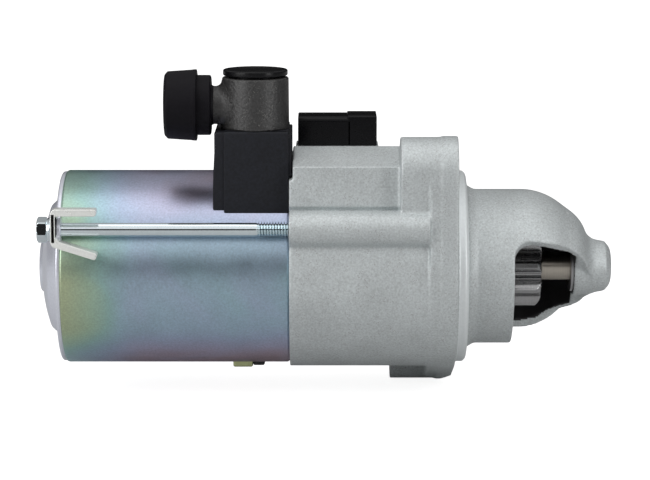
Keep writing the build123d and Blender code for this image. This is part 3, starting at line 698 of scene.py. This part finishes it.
def addPiece(name, body, surfaces, finishes, stands=(), sharp=32):
    # joins surfaces into one mesh, one finish for each, closes seams and poles, and faces it outwards
    points, faces, marks, start = [], [], [], 0
    for number, (spots, quads) in enumerate(surfaces):
        points.append(spots)
        faces += [[start + corner for corner in quad] for quad in quads]
        marks += [min(number, len(finishes) - 1)] * len(quads)
        start += len(spots)
    mesh = bpy.data.meshes.new(name)
    mesh.from_pydata(np.concatenate(points).tolist(), [], faces)
    mesh.polygons.foreach_set("material_index", marks)
    clean = bmesh.new()
    clean.from_mesh(mesh)
    bmesh.ops.remove_doubles(clean, verts=clean.verts, dist=weldGap)
    bmesh.ops.recalc_face_normals(clean, faces=clean.faces)
    clean.to_mesh(mesh)
    clean.free()
    for finish in finishes:
        mesh.materials.append(materials[finish])
    mesh.shade_smooth()
    mesh.set_sharp_from_angle(angle=math.radians(sharp))
    piece = bpy.data.objects.new(name, mesh)
    bpy.context.scene.collection.objects.link(piece)
    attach(piece, body)
    if stands:
        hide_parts(*stands)


# ---- drive housing: the cast shell

housing = {
    "voxel": 0.5,                     # mm
    "quickVoxel": 2.2,
    "smoothing": 4,                   # passes; they give the casting its fillets
    "faces": 176000,                  # after thinning
    # nearer the axis than this radius at each place along it, the cast surface gets a painted shade: dark,
    # standing in for the shadow inside
    "cavityX": (-12.0, 25.0, 31.5, 37.0, 41.2, 43.4),
    "cavityR": (25.5, 25.5, 24.5, 21.0, 18.8, 17.0),
    "cavityEnd": 43.3,
    "bore": (-59.0, -12.3),           # the barrel's bore, which gets the painted shade, and its radius
    "boreR": 33.6,
    "pilot": (0.4, 4.3),              # the machined step, from this radius out
    "pilotR": 31.8,
}


def buildHousing():
    # the casting remeshed, smoothed and thinned, then a finish for each face by its place, with painted
    # shade on the inner faces
    node = frame["nodes"]["drive_housing"]
    mesh = node.data.copy()
    mesh.name = "drive_housing_cast"
    merge = bmesh.new()
    merge.from_mesh(mesh)
    bmesh.ops.remove_doubles(merge, verts=merge.verts, dist=weldGap)
    merge.to_mesh(mesh)
    merge.free()
    piece = bpy.data.objects.new("drive_housing_cast", mesh)
    bpy.context.scene.collection.objects.link(piece)
    remesh = piece.modifiers.new("remesh", "REMESH")
    remesh.mode = "VOXEL"
    remesh.voxel_size = housing["voxel"] * mm * 1.0
    smooth = piece.modifiers.new("smooth", "SMOOTH")
    smooth.factor = 0.5
    smooth.iterations = housing["smoothing"]
    applyModifiers(piece)
    count = sum(len(p.vertices) - 2 for p in piece.data.polygons)
    if count > housing["faces"]:
        thin = piece.modifiers.new("thin", "DECIMATE")
        thin.ratio = housing["faces"] / count
        applyModifiers(piece)
    mesh = piece.data
    mesh.materials.clear()
    for finish in ("castAluminium", "castInsidePaintedShade", "machinedAluminium"):
        mesh.materials.append(materials[finish])
    centres = np.empty(len(mesh.polygons) * 3)
    mesh.polygons.foreach_get("center", centres)
    x, y, z = centres.reshape(-1, 3).T / mm
    radius = np.hypot(y, z)
    reach = np.interp(x, housing["cavityX"], housing["cavityR"])
    # faces inside the cavity and the bore take the painted shade
    inside = (x > housing["cavityX"][0]) & (x < housing["cavityEnd"]) & (radius < reach)
    boreRear, boreFront = housing["bore"]
    inside |= (x > boreRear) & (x < boreFront) & (radius < housing["boreR"])
    pilotRear, pilotFront = housing["pilot"]
    pilot = (x > pilotRear) & (x < pilotFront) & (radius > housing["pilotR"])
    mesh.polygons.foreach_set("material_index", inside + 2 * pilot)
    mesh.shade_smooth()
    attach(piece, "root")
    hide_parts("drive_housing")


def applyModifiers(piece):
    # bakes the modifiers into a new mesh and clears them
    graph = bpy.context.evaluated_depsgraph_get()
    baked = bpy.data.meshes.new_from_object(piece.evaluated_get(graph))
    piece.modifiers.clear()
    piece.data = baked


buildHousing()
print("drive housing built")


# ---- yoke, end cover and their bolts

yokeShape = {
    "radius": 35.0,
    "bore": 32.5,
    "rear": -140.6,
    "front": -59.6,
    "frontTaper": (0.7, 0.6),         # along, inwards
    "rounds": [0.3, 0.9, 0.5, 0.3, 0.3],
}


def buildYoke():
    shape = yokeShape
    rear, front, radius, bore = (shape[key] for key in ("rear", "front", "radius", "bore"))
    back, drop = shape["frontTaper"]
    profile = roundedOutline([(rear, bore), (rear, radius), (front - back, radius),
                              (front, radius - drop), (front, bore)], shape["rounds"])
    addPiece("yoke_tube", "root", [latheSurface(profile, segments=256)], ["yokePlatingAndReflection"], ["yoke"])


coverShape = {
    # (along, radius) from the rim over the stepped dome to the centre, then back inside
    "outside": [(-140.4, 34.5), (-142.2, 34.5), (-142.3, 25.7), (-143.8, 24.6), (-146.2, 22.4),
                (-147.6, 18.0), (-148.4, 14.6), (-149.1, 9.9), (-150.3, 8.8), (-150.4, 0.0)],
    "inside": [(-149.0, 0.0), (-148.6, 9.0), (-146.4, 16.6), (-144.3, 21.4), (-142.2, 23.6),
               (-140.9, 24.4), (-140.8, 33.0)],
    "rounds": [0.3, 0.9, 1.4, 1.6, 2.6, 2.2, 1.2, 1.2, 1.0, 0.0,
               0.0, 1.0, 1.5, 1.5, 1.0, 0.4, 0.3],
    "earHalfWidth": 4.2,
    "earRoot": 33.6,                  # radius where the ear starts
    "ear": (-141.2, -139.6),
    "earEdge": 0.35,
}
boltShape = {
    "at": (-33.2, 18.7),
    "radius": 2.5,
    "threadRadius": 2.95,
    "threadDepth": 0.9,
    "pitch": 1.0,
    "threadFrom": -71.0,
    "threadTo": -57.0,
    "head": (-148.0, -144.4),
    "headDish": 0.5,
    "headTurn": 0.2,                  # radians
    "acrossFlats": 8.0,
    "crown": 0.75,                    # how far the hexagon's chamfer cone rises
    "crownLength": 0.58,              # the cone's length, as a share of its rise
    "flange": (-144.6, -142.7, 5.0),
}


def boltPlaces():
    y, z = boltShape["at"]
    return [(y, z), (-y, -z)]


def coverEar(y, z):
    # a tab under each bolt's clip: rounded outline in (y, z) with a rounded rim
    half = coverShape["earHalfWidth"]
    turn = math.atan2(z, y)
    flat = roundedOutline(rectangle(coverShape["earRoot"], math.hypot(y, z) + half, -half, half),
                          [0.3, half * 0.98, half * 0.98, 0.3], steps=12)
    ring = np.stack([flat[:, 0] * math.cos(turn) - flat[:, 1] * math.sin(turn),
                     flat[:, 0] * math.sin(turn) + flat[:, 1] * math.cos(turn)], axis=-1)
    return prismSurface(ring, roundedEnds(*coverShape["ear"], coverShape["earEdge"]))


def buildEndCover():
    profile = roundedOutline(coverShape["outside"] + coverShape["inside"], coverShape["rounds"])
    surfaces = [latheSurface(profile, segments=224)] + [coverEar(y, z) for y, z in boltPlaces()]
    addPiece("end_cover_pressed", "root", surfaces, ["coverPlating"], ["end_cover"], 40)


def polarHex(angle, acrossFlats):
    # distance to the side of a hexagon along each angle
    return acrossFlats / 2 / np.cos((angle + np.pi / 6) % (np.pi / 3) - np.pi / 6)


def headSurface(centre):
    # radius = the smaller of the hexagon and a cone that rises from each end
    shape = boltShape
    (start, end), width = shape["head"], shape["acrossFlats"]
    angle = np.linspace(0, 2 * np.pi, 120, endpoint=False)
    low = np.linspace(0, shape["crown"], 5)
    rise = np.concatenate([low, low[::-1]])
    steps = low * shape["crownLength"]
    place = np.concatenate([start + steps, (end - steps)[::-1]])[:, None]
    limit = (width / 2 - 0.1 + rise)[:, None]
    limit[4:6] = width
    radius = np.minimum(polarHex(angle + shape["headTurn"], width)[None], limit)
    full = np.ones((1, len(angle)))
    inner = width * 0.2
    return gridSurface(np.concatenate([polar(full * (start + shape["headDish"]), inner, angle, centre),
                                       polar(place, radius, angle, centre),
                                       polar(full * end, inner, angle, centre)]), caps=(True, True))


def threadSurface(start, end, centre):
    # radius = root + depth x a rounded triangle wave of (place / pitch - angle / full turn)
    shape = boltShape
    rows = int((end - start) / shape["pitch"] * 14) + 1
    along = np.linspace(start, end, rows)[:, None]
    angle = np.linspace(0, 2 * np.pi, 56, endpoint=False)[None]
    phase = (along / shape["pitch"] - angle / (2 * np.pi)) % 1.0
    wave = np.clip(1.25 * (1 - np.abs(2 * phase - 1)) - 0.12, 0, 1)
    fade = np.clip((along - start) / shape["pitch"], 0, 1)
    thread = shape["threadRadius"] - shape["threadDepth"] * (1 - wave)
    radius = shape["radius"] * (1 - fade) + thread * fade
    return gridSurface(polar(along, radius, angle, centre), caps=(True, True))


def buildBolts():
    shape = boltShape
    rear, front, flange = shape["flange"]
    rim = roundedOutline([(rear - 0.3, 0), (rear - 0.3, flange - 1.2), (front - 0.9, flange - 0.7),
                          (front - 0.7, flange), (front, flange), (front, 0)],
                         [0, 0.3, 0.2, 0.2, 0.2, 0])
    shank = [(front - 0.2, 0), (front - 0.2, shape["radius"]),
             (shape["threadFrom"] + 0.1, shape["radius"]), (shape["threadFrom"] + 0.1, 0)]
    surfaces = []
    for centre in boltPlaces():
        surfaces += [headSurface(centre), latheSurface(rim, centre, segments=72),
                     latheSurface(shank, centre, segments=72),
                     threadSurface(shape["threadFrom"], shape["threadTo"], centre)]
    addPiece("through_bolts_threaded", "root", surfaces, ["boltPlatingAndShade"], ["through_bolts"],
             38)


clipShape = {
    "sheet": 1.7,
    "leg": 2.5,
    "rear": -142.9,
    "straightEnd": -126.8,
    "splayedLength": 16.4,
    "splay": 17.5,                    # degrees
    "legSide": (-6.2, -0.6),          # from the bolt's y
    "baseSide": (-6.2, 5.6),
    "top": 8.1,                       # from the bolt's z
    "bottom": -5.1,
    "rounds": [1.9, 1.9, 0.9, 0.9, 0.2, 0.5, 0.6, 0.9, 0.9],
    "baseRounds": [0.8, 2.4, 2.4, 0.8],
}


def clipSurfaces():
    # side view of the bent sheet, (along, up), carried across; then the wider base behind the head
    shape = clipShape
    y, z = boltShape["at"]
    sheet, leg = shape["sheet"], shape["leg"]
    top, bottom = z + shape["top"], z + shape["bottom"]
    lean = math.radians(shape["splay"])
    way = np.array([math.cos(lean), -math.sin(lean)])
    side = np.array([math.sin(lean), math.cos(lean)])
    root = np.array([shape["rear"], bottom])
    tip = root + way * shape["splayedLength"]
    corners = [(shape["rear"], top), (shape["rear"], bottom), tuple(tip), tuple(tip + side * leg),
               tuple(root + way * 2.6 + side * leg), (shape["rear"] + sheet, bottom + leg * 1.2),
               (shape["rear"] + sheet, top - leg), (shape["straightEnd"], top - leg),
               (shape["straightEnd"], top)]
    outline = roundedOutline(corners, shape["rounds"])
    legs = prismSurface(outline, roundedEnds(*(y + side for side in shape["legSide"]), 0.35), "y")
    base = roundedOutline(rectangle(*(y + side for side in shape["baseSide"]), bottom + 0.6, top - 1.0),
                          shape["baseRounds"])
    return [legs, prismSurface(base, roundedEnds(shape["rear"], shape["rear"] + sheet, 0.3))]


def halfTurn(surface):
    # the same surface turned half way round the shaft axis
    points, faces = surface
    return points * np.array([1.0, -1.0, -1.0]), faces


def buildClips():
    near = clipSurfaces()
    addPiece("bolt_clips_bent", "root", near + [halfTurn(surface) for surface in near],
             ["clipPlating"], ["bolt_clips"], 40)


buildYoke()
buildEndCover()
buildBolts()
buildClips()
print("yoke, end cover, bolts and clips built")


# ---- terminal block, tower, lid, stud cap and connector

towerShape = {
    "at": (-71.65, -14.0),
    "radius": 12.0,
    "foot": 52.5,
    "top": 70.7,
    "wall": 2.6,
    "studZ": 60.6,
    "neckRadius": 6.8,
    "fillet": 2.2,
    "collarRadius": 10.7,
    "collar": (-92.9, -87.8),
    "lidRadius": 11.5,
    "lidTop": 73.5,
    "lidThickness": 2.2,
    "lidPlug": (66.8, 7.8, 9.2),      # lowest z, inner and outer radius
    "capRadius": 12.7,
    "cap": (-104.1, -92.5),
    "capWellEnd": -102.8,
    "capWell": 9.1,
}
blockShape = {
    "seat": 35.06,                    # radius of the yoke it sits on
    "seatFloor": 20.0,                # the lowest that the seat's curve goes
    "top": 52.5,
    "main": rectangle(-82.7, -59.7, -26.0, 8.0),
    "plate": rectangle(-86.6, -70.0, -25.2, 6.0),
    "plateStep": 0.6,                 # the plate's rear face steps in by this
    "plateStepZ": (37.0, 40.0),
    "lip": rectangle(-25.2, 8.0, 36.2, 51.2),
    "lipEnds": (-60.5, -58.75),
}


def saddleSurface(outline, top, edge, narrow=None):
    # walls rise from z = sqrt(seat^2 - y^2) to the top, whose rim is rounded; rings close both ends
    seat, seatFloor = blockShape["seat"], blockShape["seatFloor"]

    def floorAt(ring):
        return np.sqrt(np.maximum(seat ** 2 - ring[:, 1] ** 2, seatFloor ** 2))

    middle = outline.mean(0)
    rows = []
    for share in (0.0, 0.35, 0.7, 1.0):
        ring = middle + (outline - middle) * share
        rows.append(placed(ring[:, 0], ring[:, 1], floorAt(ring)))
    t = np.linspace(0, np.pi / 2, 6)
    straight = floorAt(outline)
    for share in (0.25, 0.5, 0.75, 1.0):
        level = straight + (top - edge - straight) * share
        shift = narrow(level) if narrow else 0.0
        rows.append(placed(outline[:, 0] + shift, outline[:, 1], level))
    for angle in t[1:]:
        ring = inset(outline, edge * (1 - math.cos(angle)))
        level = np.full(len(ring), top - edge * (1 - math.sin(angle)))
        shift = narrow(level) if narrow else 0.0
        rows.append(placed(ring[:, 0] + shift, ring[:, 1], level))
    return gridSurface(np.stack(rows), caps=(False, True))


def buildBlock():
    shape = blockShape
    main = roundedOutline(shape["main"], [0.5, 0.4, 1.5, 1.5])
    plate = roundedOutline(shape["plate"], [0.5, 0.3, 0.3, 1.6])
    left = plate[:, 0].min()

    def plateShift(level):
        # moves the rear face in by a blend from 0 to 1 between the step's two heights
        low, high = shape["plateStepZ"]
        blend = np.clip((level - low) / (high - low), 0, 1)
        return shape["plateStep"] * blend * (plate[:, 0] < left + 6)

    lip = prismSurface(roundedOutline(shape["lip"], [0.8, 0.8, 1.6, 1.6]),
                       roundedEnds(*shape["lipEnds"], 0.3))
    surfaces = [saddleSurface(main, shape["top"], 0.9),
                saddleSurface(plate, shape["top"] - 0.3, 0.7, plateShift), lip]
    addPiece("terminal_block_moulded", "root", surfaces, ["blockPlastic"], ["terminal_block"],
             40)


def buildTower():
    shape = towerShape
    x, y = shape["at"]
    r, top, thick = shape["radius"], shape["top"], shape["wall"]
    wall = roundedOutline([(shape["foot"], r - thick), (shape["foot"], r - 0.2),
                           (shape["foot"] + 0.5, r), (top, r - 0.15), (top, r - thick)],
                          [0, 0.25, 0.4, 0.7, 0.3])
    body = latheSurface(wall, (x, y), "z", 200)
    # the neck meets the tower in a fillet: radius + f (1 - cos t), standing f (1 - sin t) off the tower
    f, inner = shape["fillet"], shape["neckRadius"]
    t = np.linspace(0, np.pi / 2, 12)[:, None]
    turn = np.linspace(0, 2 * np.pi, 160, endpoint=False)[None]
    spread = inner + f * (1 - np.cos(t))
    across, up = spread * np.cos(turn), spread * np.sin(turn)
    stand = x - np.sqrt(np.maximum(r ** 2 - across ** 2, 9.0)) - f * (1 - np.sin(t))
    foot = placed(stand[::-1], y + across[::-1], shape["studZ"] + up[::-1])
    root = placed(np.full((1, 160), x), foot[:1, :, 1] / mm, foot[:1, :, 2] / mm)
    tube = polar(np.full((1, 160), shape["collar"][1] + 1.0), inner, turn, (y, shape["studZ"]))
    fillet = gridSurface(np.concatenate([root, foot, tube]), caps=(True, True))
    rear, front = shape["collar"]
    c = shape["collarRadius"]
    tail = roundedOutline([(front + 1.4, 4.3), (front + 1.4, inner), (front + 0.5, inner + 0.4),
                           (front + 0.4, c - 0.5), (front, c), (rear - 0.3, c), (rear - 0.3, c - 1.9),
                           (rear - 1.5, c - 1.9), (rear - 1.5, 4.3)],
                          [0.0, 0.2, 0.4, 0.4, 0.4, 0.3, 0.2, 0.3, 0.0])
    collar = latheSurface(tail, (y, shape["studZ"]), segments=160)
    addPiece("terminal_tower_moulded", "root", [body, fillet, collar],
             ["towerPlastic", "towerPlastic", "capPlastic"], ["terminal_tower"], 40)


def buildLid():
    shape = towerShape
    r, top, thick = shape["lidRadius"], shape["lidTop"], shape["lidThickness"]
    low, inner, outer = shape["lidPlug"]
    seat = shape["top"] + 0.7
    profile = roundedOutline([(low, inner), (low, outer), (seat, outer), (seat, r), (top - 0.1, r),
                              (top, 0), (top - thick, 0), (top - thick, inner)],
                             [0.3, 0.3, 0.2, 0.35, 0.55, 0, 0, 0.3])
    addPiece("tower_lid_moulded", "root", [latheSurface(profile, shape["at"], "z", 200)],
             ["lidPlastic"], ["tower_lid"], 40)


def buildCap():
    # a moulded cup with a chamfered rear rim, barely tapered sides and a small lip at its mouth
    shape = towerShape
    rear, mouth = shape["cap"]
    r, well, wellEnd = shape["capRadius"], shape["capWell"], shape["capWellEnd"]
    profile = roundedOutline([(rear + 0.15, 0), (rear, 8.2), (rear + 0.15, r - 1.9),
                              (rear + 1.2, r - 0.7), (mouth - 2.0, r - 0.15), (mouth - 0.9, r),
                              (mouth, r), (mouth, 10.9), (mouth - 0.7, 10.7), (mouth - 0.7, well),
                              (wellEnd, well), (wellEnd, 0)],
                             [0, 2.0, 0.8, 0.8, 1.0, 0.4, 0.25, 0.25, 0.15, 0.15, 0.3, 0])
    cup = latheSurface(profile, (shape["at"][1], shape["studZ"]), segments=200)
    addPiece("stud_cap_moulded", "cap", [cup], ["capPlastic"], ["protective_cap"], 40)


connectorShape = {
    "side": (-8.4, 7.8),
    "low": 45.2,
    "socket": {"along": (-56.6, -38.0), "top": 55.6, "wall": 1.5, "depth": 14.5},
    "body": {"along": (-38.9, -28.3), "top": 56.0},
    "rib": {"side": (0.2, 1.4), "up": (53.3, 53.9)},         # side from the shell's own side
    "blade": {"along": (-54.0, -40.0), "side": (-3.4, 2.8), "up": (48.9, 49.7), "edge": 0.2},
}


def buildConnector():
    shape = connectorShape
    low, high = shape["side"]
    socket, body = shape["socket"], shape["body"]
    wall = socket["wall"]
    bottom, top = shape["low"], socket["top"]
    outer = roundedOutline(rectangle(low, high, bottom, top), [0.4, 0.4, 1.7, 1.7], steps=8)
    inner = roundedOutline(rectangle(low + wall, high - wall, bottom + 1.2, top - wall + 0.3),
                           [0.4, 0.4, 1.0, 1.0], steps=8)
    rear, front = socket["along"]
    # walls run forward outside, turn over the mouth's rim and run back into the socket
    levels = [(front, outer), (rear + 0.4, outer), (rear + 0.1, inset(outer, 0.12)),
              (rear, inset(outer, 0.4)), (rear, inset(inner, -0.3)), (rear + 0.3, inner),
              (rear + socket["depth"], inner)]
    rows = [placed(np.full(len(ring), at), ring[:, 0], ring[:, 1]) for at, ring in levels]
    sleeve = gridSurface(np.stack(rows), caps=(True, True))
    block = roundedOutline(rectangle(low, high, bottom, body["top"]), [0.4, 0.4, 0.7, 0.7])
    ribSide, ribUp = shape["rib"]["side"], shape["rib"]["up"]
    rib = roundedOutline(rectangle(low + ribSide[0], low + ribSide[1], *ribUp), 0.15)
    surfaces = [sleeve, prismSurface(block, roundedEnds(*body["along"], 0.45)),
                prismSurface(rib, roundedEnds(rear + 1.0, body["along"][0] + 0.2, 0.15))]
    addPiece("connector_shell_moulded", "root", surfaces, ["connectorPlastic"], ["connector_shell"],
             40)


def buildBlade():
    blade = connectorShape["blade"]
    tongue = roundedOutline(rectangle(*blade["along"], *blade["side"]), [1.2, 0.1, 0.1, 1.2])
    (low, high), edge = blade["up"], blade["edge"]
    bevelled = inset(tongue, edge)
    levels = [(low, bevelled), (low + edge, tongue), (high - edge, tongue), (high, bevelled)]
    addPiece("connector_blade_tongue", "root", [slabSurface(levels)], ["copper"],
             ["connector_blade"], 40)


buildBlock()
buildTower()
buildLid()
buildCap()
buildConnector()
buildBlade()
print("terminal and connector built")


# ---- pinion, its shaft and the drain

pinionShape = {
    "teeth": 9,
    "module": 2.54,
    "pressureAngle": 20,              # degrees
    "root": 9.0,
    "tip": 14.6,
    "thicken": 0.85,
    "turn": 10.0,                     # degrees
    "bore": 6.42,
    "rear": 17.4,
    "front": 31.4,
    # (along, radius) of the hub behind the teeth, outside the bore
    "hub": [(-7.4, 9.8), (10.4, 9.8), (10.4, 12.6), (12.4, 12.6), (12.4, 9.8), (17.6, 9.8)],
}


def toothOutline():
    # involute: half angle at r = half tooth at the pitch circle + inv(pressure angle)
    # - inv(acos(base / r)), with inv(a) = tan a - a; a rounded dip joins the teeth at the root
    shape = pinionShape
    teeth = shape["teeth"]
    pitch = teeth * shape["module"] / 2
    press = math.radians(shape["pressureAngle"])
    base = pitch * math.cos(press)
    lean = math.tan(press) - press
    half = (math.pi * shape["module"] / 2 + shape["thicken"]) / (2 * pitch) + lean
    r = np.linspace(base * 1.0005, shape["tip"], 9)
    slope = np.arccos(base / r)
    flank = half - (np.tan(slope) - slope)
    tipAngles = np.linspace(-flank[-1], flank[-1], 5)[1:-1]
    gap = np.linspace(flank[0], 2 * math.pi / teeth - flank[0], 9)[1:-1]
    dip = shape["root"] + (r[0] - shape["root"]) * np.abs(np.linspace(-1, 1, 7)) ** 3
    radius = np.concatenate([r, np.full(3, shape["tip"]), r[::-1], dip])
    angle = np.concatenate([-flank, tipAngles, flank[::-1], gap])
    turns = np.arange(teeth)[:, None] * 2 * math.pi / teeth + math.radians(shape["turn"])
    return np.tile(radius, teeth), (angle[None] + turns).ravel()


def buildPinion():
    # the tooth outline carried along the axis, cut by a chamfer cone at each end
    shape = pinionShape
    radius, angle = toothOutline()
    rear, front, bore = shape["rear"], shape["front"], shape["bore"]
    clear = shape["tip"] + 1
    levels = [(rear, 12.9), (rear + 0.5, 13.9), (rear + 1.2, clear), (front - 1.8, clear),
              (front - 1.1, 13.9), (front - 0.5, 13.2), (front - 0.1, 12.4), (front, 11.9)]
    full = np.ones(len(radius))
    rows = [polar(full * at, np.minimum(radius, limit), angle) for at, limit in levels]
    ends = [polar(full * at, bore, angle) for at in (rear, front)]
    teeth = gridSurface(np.stack([ends[0], *rows, ends[1]]), wrapRows=True)
    first, last = shape["hub"][0][0], shape["hub"][-1][0]
    hub = latheSurface(roundedOutline([(first, bore), *shape["hub"], (last, bore)], 0.3))
    addPiece("pinion_toothed", "pinion", [teeth, hub], ["pinionSteel"], ["pinion"], 30)


drainShape = {
    "clip": {"along": (-80.4, -73.2), "side": (-6.0, 6.0), "up": (-36.5, -33.6)},
    "cover": {"along": (-73.2, -68.9), "side": (-5.0, 5.0), "up": (-36.1, -33.6)},
}


def buildDrain():
    for name, stands, finish, slot in (("clip", "drain_clip", "olivePlating", "olive_zinc"),
                                       ("cover", "drain_cover", "sealRubber", "seal_rubber")):
        shape = drainShape[name]
        outline = roundedOutline(rectangle(*shape["along"], *shape["side"]), 0.8)
        low, high = shape["up"]
        levels = [(high, outline), (low + 0.4, outline), (low, inset(outline, 0.4))]
        addPiece("drain_" + name + "_formed", "root", [slabSurface(levels)], [finish], [stands],
                 40)


buildPinion()
buildDrain()
print("pinion and drain built")
